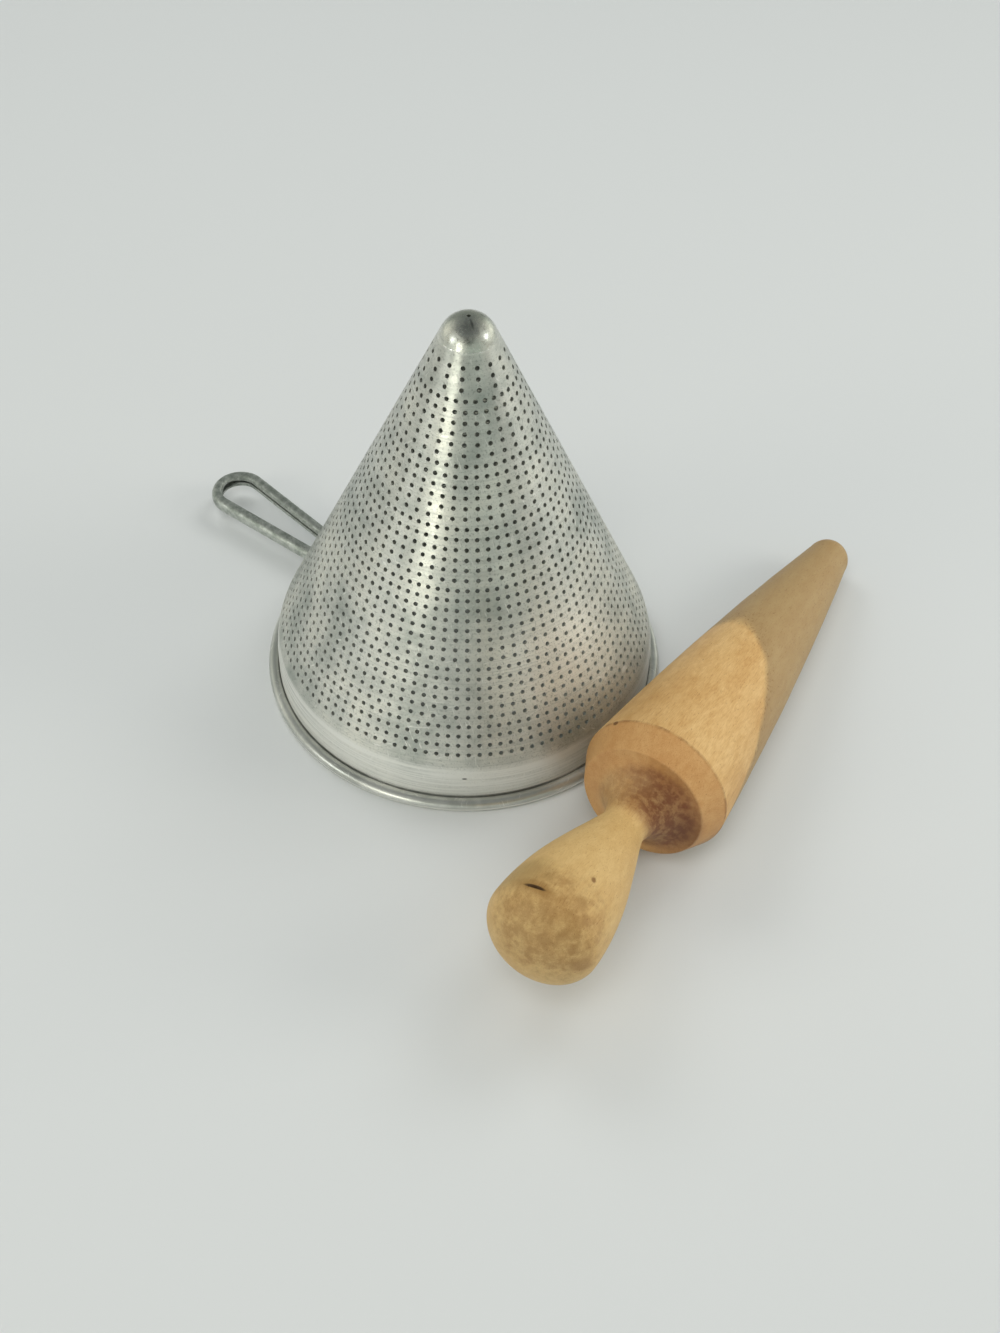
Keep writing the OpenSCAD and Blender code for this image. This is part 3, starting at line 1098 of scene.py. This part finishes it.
@dataclass
class Handle:
    """The hairpin loop: a strip curled into a nearly closed section, its ends folded out as ears.

    It is built with the loop's end along X and its mid-height at zero, then turned to face -X.
    """

    wall_r: float
    level: float = 10.5 * MM
    reach: float = 79.5 * MM
    loop_w: float = 28 * MM
    root_w: float = 18 * MM
    strip_h: float = 7.5 * MM
    strip_depth: float = 5.2 * MM
    strip_t: float = 1.0 * MM
    strip_round: float = 3.0 * MM
    lip_round: float = 1.9 * MM
    slit: float = 1.4 * MM
    gape_h: float = 3.2 * MM
    gape_l: float = 15 * MM
    ear_reach: float = 22 * MM
    edge_round: float = 0.2 * MM
    # Angle past which an edge is rounded, and past which a shaded edge stays crisp
    round_past: float = 50.0
    crisp: float = 35.0
    loop_steps: int = 96
    arc_steps: int = 8
    ear_steps: int = 12

    def __post_init__(self) -> None:
        """Works out the loop's centre and the arms' slant."""
        self.loop_r = self.loop_w / 2
        self.loop_c = self.wall_r + self.reach - self.loop_r
        run = self.loop_c - self.wall_r
        root = math.hypot(run, self.root_w / 2)
        self.slant = math.asin(self.loop_r / root) - math.atan2(self.root_w / 2, run)

    def side(self, depth: float) -> list[tuple[float, float]]:
        """Works out one skin of the strip's section.

        Args:
            depth: How far it lies below the strip's outer face.

        Returns:
            Distance from the inner side and height of each point, from the upper lip to the lower.
        """
        half = self.strip_h / 2
        back = self.strip_depth - self.strip_round
        points = [(depth, self.slit / 2)]
        for x, radius, sign, start in (
            (self.lip_round, self.lip_round, 1, 180),
            (back, self.strip_round, 1, 90),
            (back, self.strip_round, -1, 0),
            (self.lip_round, self.lip_round, -1, -90),
        ):
            for turn in spaced(start, start - 90, self.arc_steps):
                across, up, _ = on_axis(turn, radius - depth, 0.0)
                points.append((x + across, sign * (half - radius) + up))
        return points + [(depth, -self.slit / 2)]

    def gape(self, across: float) -> float:
        """Works out how far the lips gape.

        Args:
            across: Distance from the loop's middle line.

        Returns:
            Half the height of the gap there.
        """
        radius = (self.gape_l**2 + self.gape_h**2) / 4 / self.gape_h
        lens = self.gape_h / 2 - radius + math.sqrt(max(0.0, radius**2 - across**2))
        return max(self.slit / 2, lens)

    def loop(self) -> bmesh.types.BMesh:
        """Bends the strip round the loop's end and runs its arms to the wall.

        Returns:
            The loop's mesh.
        """
        bm = bmesh.new()
        inner = self.loop_r - self.strip_depth
        section = self.side(0.0) + list(reversed(self.side(self.strip_t)))
        ring = chain(bm, [(inner + x, 0.0, z) for x, z in section], True)
        turn = math.pi / 2 + self.slant
        bmesh.ops.rotate(bm, verts=bm.verts, cent=(0, 0, 0), matrix=Matrix.Rotation(-turn, 3, "Z"))
        last = bmesh.ops.spin(
            bm, geom=ring, axis=Axis.Z.value, angle=2 * turn, steps=self.loop_steps
        )["geom_last"]
        for vert in bm.verts:
            if abs(abs(vert.co.z) - self.slit / 2) < WELD and vert.co.x > 0:
                vert.co.z = math.copysign(self.gape(vert.co.y), vert.co.z)
        bmesh.ops.translate(bm, verts=bm.verts, vec=(self.loop_c, 0, 0))
        for end, side in ((ring, -1), (last, 1)):
            way = Vector((-math.cos(self.slant), -side * math.sin(self.slant), 0.0))
            moved = bmesh.ops.extrude_edge_only(bm, edges=only(bmesh.types.BMEdge, end))["geom"]
            for vert in only(bmesh.types.BMVert, moved):
                flat = Vector((vert.co.x, vert.co.y, 0.0))
                middle = -flat.dot(way)
                past = math.sqrt(self.wall_r**2 - flat.length_squared + middle**2)
                vert.co += way * (middle - past)
            bmesh.ops.contextual_create(bm, geom=only(bmesh.types.BMEdge, moved))
        bmesh.ops.recalc_face_normals(bm, faces=bm.faces)
        return bm

    def ear(self, bm: bmesh.types.BMesh, side: int) -> None:
        """Adds one ear, cut flat and bent round the wall.

        Args:
            bm: The mesh that it goes into.
            side: Which arm it belongs to, 1 or -1.
        """
        half = self.strip_h / 2
        root = self.root_w / 2 - self.strip_depth
        straight = spaced(root, self.ear_reach - half, self.arc_steps)
        turns = spaced(0.0, math.pi / 2, self.ear_steps)[1:]
        columns = straight + [straight[-1] + half * math.sin(turn) for turn in turns]
        segments = len(columns) - 1
        plate = bmesh.ops.create_grid(bm, x_segments=segments, y_segments=2, size=1.0)["verts"]
        faces = list({face for vert in plate for face in vert.link_faces})
        for vert in plate:
            across = columns[round((vert.co.x + 1) / 2 * segments)]
            past = max(0.0, across - straight[-1])
            vert.co = (0.0, across, vert.co.y * math.sqrt(max(0.0, half**2 - past**2)))
        bmesh.ops.remove_doubles(bm, verts=plate, dist=WELD)
        faces = [face for face in faces if face.is_valid]
        thick = bmesh.ops.solidify(bm, geom=faces, thickness=self.strip_t)["geom"]
        verts = set(only(bmesh.types.BMVert, thick))
        verts.update(vert for face in faces for vert in face.verts)
        low = min(vert.co.x for vert in verts)
        for vert in verts:
            radius = self.wall_r + vert.co.x - low
            vert.co.x = math.sqrt(radius**2 - vert.co.y**2)
            vert.co.y *= side

    def build(self, finish: PlatedSteel) -> bpy.types.Object:
        """Bends the strip, adds its ears and turns it to its place.

        Args:
            finish: The strip's finish.

        Returns:
            The piece.
        """
        bm = self.loop()
        for side in (-1, 1):
            self.ear(bm, side)
        bmesh.ops.recalc_face_normals(bm, faces=bm.faces)
        round_edges(bm, self.round_past, self.edge_round, segments=2)
        place = Matrix.Translation((0, 0, self.level)) @ Matrix.Rotation(math.pi, 4, "Z")
        bmesh.ops.transform(bm, matrix=place, verts=bm.verts)
        return make_object("handle_strip", bm, finish.material(), self.crisp)


@dataclass
class Rivets:
    """Two rivets, domed outside and countersunk inside, through the ears and the wall."""

    wall_in: float
    level: float
    grip: float = 2.2 * MM
    reach: float = 18.25 * MM
    wall_r: float = 87 * MM
    shank_r: float = 1.5 * MM
    head_r: float = 2.8 * MM
    head_h: float = 1.5 * MM
    sink_r: float = 2.3 * MM
    # The filed inner end stands this far proud of the sheet
    proud: float = 0.15 * MM
    edge_round: float = 0.06 * MM
    round_past: float = 40.0
    crisp: float = 35.0
    rounds: int = 40
    dome_steps: int = 8

    def build(self, finish: SpunAluminium) -> bpy.types.Object:
        """Turns one rivet and sets it through both ears.

        Args:
            finish: The rivets' finish.

        Returns:
            The piece.
        """
        bm = bmesh.new()
        dome = (self.head_r**2 + self.head_h**2) / 2 / self.head_h
        edge = math.asin(self.head_r / dome)
        outline = [(0.0, -self.proud), (self.sink_r, -self.proud), (self.sink_r, 0.0)]
        outline += [(self.shank_r, self.sink_r - self.shank_r), (self.shank_r, self.grip)]
        outline += [
            (dome * math.sin(turn), self.grip + self.head_h - dome * (1 - math.cos(turn)))
            for turn in spaced(edge, 0.0, self.dome_steps)
        ]
        points = [(height, radius, 0.0) for radius, height in outline]
        turn_whole(bm, points, Axis.X, self.rounds)
        round_edges(bm, self.round_past, self.edge_round, segments=2)
        bmesh.ops.translate(bm, verts=bm.verts, vec=(self.wall_in, 0, self.level))
        turn = math.asin(self.reach / self.wall_r)
        back = Matrix.Rotation(math.pi - turn, 3, "Z")
        bmesh.ops.rotate(bm, verts=bm.verts, cent=(0, 0, 0), matrix=back)
        geom = everything(bm)
        bmesh.ops.spin(
            bm, geom=geom, axis=Axis.Z.value, angle=2 * turn, steps=1, use_duplicate=True
        )
        return make_object("rivet_pair", bm, finish.material(), self.crisp)


@dataclass
class Pestle:
    """The pestle: one turned piece with a cone, a heel, a cove and a knob."""

    tip_r: float = 10.4 * MM
    body_l: float = 194.7 * MM
    body_r: float = 33.5 * MM
    swell: float = 1.9 * MM
    heel_l: float = 12.4 * MM
    heel_r: float = 27.7 * MM
    neck_r: float = 10 * MM
    knob_l: float = 64.8 * MM
    knob_r: float = 24.7 * MM
    knob_end_l: float = 16.4 * MM
    # How slowly the knob swells from the neck, where 1 is a sine
    knob_swell: float = 1.1
    # Where the tip's centre lies, and which way the pestle points
    at: tuple[float, float] = (96.4 * MM, 158.5 * MM)
    turn: float = -80.0
    # Share of the swollen side at which it rests on the table, and steps that are enough for it
    rest: float = 0.7
    rest_steps: int = 12
    rounds: int = 144
    curve_steps: int = 24
    edge_round: float = 0.5 * MM
    round_past: float = 18.0
    crisp: float = 60.0
    # Hand sanding and use leave dips this deep and about this wide
    uneven: float = 0.25 * MM
    uneven_l: float = 16 * MM
    crack_at: float = 291.2 * MM
    crack_turn: float = -166.0
    crack_l: float = 10 * MM
    crack_w: float = 1.5 * MM
    crack_depth: float = 1.1 * MM

    def outline(self, steps: int) -> list[tuple[float, float]]:
        """Works out the turned outline.

        Args:
            steps: Steps in each of its curves.

        Returns:
            Radius and height of each point, from the tip to the end.
        """
        quarter = spaced(0.0, math.pi / 2, steps)[1:]
        heel = self.body_l + self.heel_l
        cove = self.heel_r - self.neck_r
        knob = heel + cove + self.knob_l
        points = [(0.0, 0.0)]
        points += [(self.tip_r * math.sin(a), self.tip_r * (1 - math.cos(a))) for a in quarter]
        side = self.body_l - self.tip_r
        for share in spaced(0.0, 1.0, steps)[1:]:
            swell = 4 * self.swell * share * (1 - share)
            radius = self.tip_r + (self.body_r - self.tip_r) * share + swell
            points.append((radius, self.tip_r + side * share))
        points += [
            (self.heel_r - cove * math.sin(a), heel + cove * (1 - math.cos(a)))
            for a in [0.0, *quarter]
        ]
        for i, a in enumerate(quarter, 1):
            swell = math.sin(a) ** self.knob_swell
            radius = self.neck_r + (self.knob_r - self.neck_r) * swell
            points.append((radius, knob - self.knob_l * (1 - i / steps)))
        points += [
            (self.knob_r * math.cos(a), knob + self.knob_end_l * math.sin(a)) for a in quarter
        ]
        points[-1] = (0.0, points[-1][1])
        return points

    def placement(self) -> Matrix:
        """Works out how the pestle, modelled on its own axis, lies on the table.

        Returns:
            What puts it there.
        """
        side = self.body_l - self.tip_r
        slope = (self.body_r - self.tip_r) / side
        tilt = math.atan(slope + 4 * self.swell * (1 - 2 * self.rest) / side)
        low = max(
            radius * math.cos(tilt) - (height - self.tip_r) * math.sin(tilt)
            for radius, height in self.outline(self.rest_steps)
        )
        return (
            Matrix.Translation((self.at[0], self.at[1], low))
            @ Matrix.Rotation(math.radians(self.turn), 4, "Z")
            @ Matrix.Rotation(math.radians(90) - tilt, 4, "Y")
            @ Matrix.Translation((0, 0, -self.tip_r))
        )

    def crack(self, bm: bmesh.types.BMesh) -> None:
        """Opens the short drying crack across the knob.

        Args:
            bm: The turned mesh, on its own axis.
        """
        for offset in (-0.5, 0.0, 0.5):
            bmesh.ops.bisect_plane(
                bm,
                geom=everything(bm),
                dist=ON_CUT,
                plane_co=(0, 0, self.crack_at + offset * self.crack_w),
                plane_no=Axis.Z.value,
            )
        for vert in bm.verts:
            if abs(vert.co.z - self.crack_at) < WELD:
                out = Vector((vert.co.x, vert.co.y, 0.0))
                turn = math.atan2(out.y, out.x) - math.radians(self.crack_turn)
                turn = (turn + math.pi) % (2 * math.pi) - math.pi
                share = 1.0 - (2 * turn * out.length / self.crack_l) ** 2
                vert.co -= out.normalized() * self.crack_depth * max(0.0, share)

    def build(self, wood: TurnedBeech, marks: PestleMarks) -> bpy.types.Object:
        """Turns the pestle and lays it down.

        Args:
            wood: Its finish.
            marks: Its stains, wear and painted shade.

        Returns:
            The piece.
        """
        bm = bmesh.new()
        outline = [(radius, 0.0, height) for radius, height in self.outline(self.curve_steps)]
        turn_whole(bm, outline, Axis.Z, self.rounds)
        round_edges(bm, self.round_past, self.edge_round, segments=3)
        self.crack(bm)
        for vert in bm.verts:
            dip = 0.5 + 0.5 * noise.noise(vert.co / self.uneven_l)
            vert.co -= vert.normal * self.uneven * dip
        placement = self.placement()
        bmesh.ops.transform(bm, matrix=placement, verts=bm.verts)
        return make_object("pestle_turned", bm, wood.material(placement, marks), self.crisp)


@dataclass(frozen=True)
class Pane:
    """A round patch of the room that metal reflects: a window, a lamp or something dark."""

    # Its direction round the object and its height above level, in degrees
    turn: float
    lift: float
    # Angles in radians from its middle within which it is full and beyond which it is gone
    inner: float
    outer: float
    # How much brighter than the wall it is, as a share of the wall's brightness
    extra: float
    # What the wall's colour is multiplied by
    tint: str = "#FFFFFF"

    def share(self, nodes: Nodes, way: Source) -> Source:
        """Draws where it is.

        Args:
            nodes: The world's tree.
            way: The direction that a ray leaves in.

        Returns:
            How much of it the ray sees.
        """
        middle = toward(self.turn, self.lift)
        near = nodes.add("VectorMath", [way, middle], operation="DOT_PRODUCT")
        return nodes.add("MapRange", [near, math.cos(self.outer), math.cos(self.inner)], **SOFT)


@dataclass(frozen=True)
class Lamp:
    """One soft lamp that faces the object.

    Metal doesn't reflect it, but the window or wall that the world has in its place.
    """

    name: str
    # Its direction round the object and its height above level, in degrees
    turn: float
    lift: float
    # In watts
    power: float
    colour: str = "#FFFFFF"
    size: float = 0.7
    distance: float = 1.6
    # Height of the point that it faces
    faces: float = 80 * MM

    def hang(self) -> None:
        """Adds the lamp to the scene."""
        data = bpy.data.lights.new(self.name, "AREA")
        data.shape = "SQUARE"
        data.size = self.size
        data.energy = self.power
        data.color = linear(self.colour)[:3]
        lamp = bpy.data.objects.new(self.name, data)
        way = Vector(toward(self.turn, self.lift))
        lamp.location = way * self.distance + Vector((0, 0, self.faces))
        lamp.rotation_euler = way.to_track_quat("Z", "Y").to_euler()
        lamp.visible_glossy = False
        bpy.context.scene.collection.objects.link(lamp)


@dataclass
class Studio:
    """The table, the room, the lamps and the camera."""

    target: Point = (13.08 * MM, 10.86 * MM, -4.73 * MM)
    distance: float = 879.2 * MM
    azimuth: float = -50.3
    elevation: float = 48.35
    roll: float = 1.97
    focal: float = 1844.31
    image_height: float = 1333.0
    sensor: float = 36.0
    lamps: tuple[Lamp, ...] = (
        Lamp("front", -62, 60, 6.0),
        Lamp("front_left", -110, 22, 4.0, "#FFF8EA"),
        Lamp("front_right", 34, 22, 6.5, "#FFFBF4"),
        Lamp("back_left", 168, 48, 4.5),
        Lamp("back_right", 80, 48, 4.5),
    )
    # The table lies this much lower than the rolled rim's underside
    table_gap: float = 0.05 * MM
    table_half: float = 4.0
    table_crisp: float = 30.0
    # The room's colours, by the sine of the height above level
    room: tuple[tuple[float, str], ...] = (
        (0.0, "#E0E0D4"),
        (0.45, "#CACBC1"),
        (0.8, "#7F8381"),
        (0.97, "#5C605E"),
    )
    # The plain light that fills the room, which is darker toward one side
    fill: tuple[tuple[float, str], ...] = ((0.0, "#B6B9B9"), (1.0, "#8A8D8D"))
    fill_dark: tuple[float, float] = (-170.0, 10.0)
    # Cosines of the angles from that side at which it starts and is full
    fill_from: tuple[float, float] = (-0.2, 0.9)
    panes: tuple[Pane, ...] = (
        Pane(-62.0, 33.0, 0.12, 0.4, -0.5),
        Pane(-34.0, 33.0, 0.12, 0.4, -0.5),
        Pane(12.0, 4.0, 0.15, 0.45, -0.28),
        Pane(-132.0, 2.0, 0.1, 0.3, -0.25),
        Pane(-30.0, 0.0, 0.32, 0.92, 0.0, "#E6F2F2"),
        Pane(130.0, 5.0, 0.4, 1.1, -0.55, "#E4EEF0"),
        Pane(-165.0, 4.0, 0.2, 0.6, 0.35),
        Pane(-87.0, 5.0, 0.08, 0.18, 1.3),
        Pane(-83.0, 14.0, 0.08, 0.21, 5.4),
        Pane(-116.0, 20.0, 0.1, 0.2, 5.8, "#F2F5FF"),
        Pane(36.0, 22.0, 0.1, 0.2, 5.8, "#F2F5FF"),
        Pane(75.0, -4.0, 0.2, 0.6, 1.1),
    )

    def camera(self) -> None:
        """Stands the camera where the object is seen from."""
        back = Vector(toward(self.azimuth, self.elevation))
        right = Vector(toward(self.azimuth + 90.0, 0.0))
        basis = Matrix((right, back.cross(right), back)).transposed().to_4x4()
        data = bpy.data.cameras.new("camera")
        data.sensor_fit = "VERTICAL"
        data.sensor_height = self.sensor
        data.lens = self.focal / self.image_height * self.sensor
        camera = bpy.data.objects.new("camera", data)
        place = Matrix.Translation(Vector(self.target) + self.distance * back)
        camera.matrix_world = place @ basis @ Matrix.Rotation(math.radians(self.roll), 4, "Z")
        bpy.context.scene.collection.objects.link(camera)
        bpy.context.scene.camera = camera

    def world(self) -> None:
        """Fills the room with plain light, and gives metal a room with windows to reflect."""
        world = bpy.data.worlds.new("room")
        bpy.context.scene.world = world
        nodes = Nodes(world)
        add = nodes.add
        way = add("TexCoord").outputs["Generated"]
        up = add("SeparateXYZ", [way]).outputs["Z"]
        shares = [pane.share(nodes, way) for pane in self.panes]
        tints = [(share, pane.tint) for share, pane in zip(shares, self.panes)]
        room = nodes.cover(add("ValToRGB", [up], self.room), *tints, mode="MULTIPLY")
        extra = 0.0
        for share, pane in zip(shares, self.panes):
            extra = add("Math", [share, pane.extra, extra], operation="MULTIPLY_ADD")
        dark = add("VectorMath", [way, toward(*self.fill_dark)], operation="DOT_PRODUCT")
        dark = add("MapRange", [dark, *self.fill_from], **SOFT)
        path = add("LightPath").outputs
        fill = add("ValToRGB", [dark], self.fill)
        inputs = {"Factor": path["Is Glossy Ray"], 6: fill, 7: room}
        lit = add("Mix", inputs, data_type="RGBA")
        colour = nodes.cover(lit, (path["Is Camera Ray"], PaleTable.colour))
        strength = add("Math", [extra, path["Is Glossy Ray"], 1.0], operation="MULTIPLY_ADD")
        add("OutputWorld", {"Surface": add("Background", [colour, strength])})

    def table(self) -> None:
        """Lays the tabletop."""
        bm = bmesh.new()
        bmesh.ops.create_grid(bm, x_segments=1, y_segments=1, size=self.table_half)
        bmesh.ops.translate(bm, verts=bm.verts, vec=(0, 0, -self.table_gap))
        make_object("table", bm, PaleTable().material(), self.table_crisp)

    def build(self) -> None:
        """Sets up the whole studio."""
        self.camera()
        self.world()
        self.table()
        for lamp in self.lamps:
            lamp.hang()
        bpy.context.scene.view_settings.view_transform = "Standard"


def place_piece(piece: bpy.types.Object, body: str, node: str) -> None:
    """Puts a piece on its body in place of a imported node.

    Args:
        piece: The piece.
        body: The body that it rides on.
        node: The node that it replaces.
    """
    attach(piece, body)
    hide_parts(node)
    LOG.info("%s: %d faces", piece.name, len(piece.data.polygons))


def main() -> None:
    """Builds the scene in order."""
    logging.basicConfig(level=logging.INFO)
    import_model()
    Studio().build()
    strainer = Strainer()
    handle = Handle(strainer.wall_r)
    rivets = Rivets(strainer.wall_r - strainer.sheet, handle.level)
    place_piece(strainer.build(SpunAluminium()), "colander", "strainer")
    place_piece(handle.build(PlatedSteel()), "colander", "handle")
    place_piece(rivets.build(SpunAluminium(name="rivet_aluminium")), "colander", "rivets")
    place_piece(Pestle().build(TurnedBeech(), PestleMarks()), "pestle", "pestle")


if __name__ == "__main__":
    main()
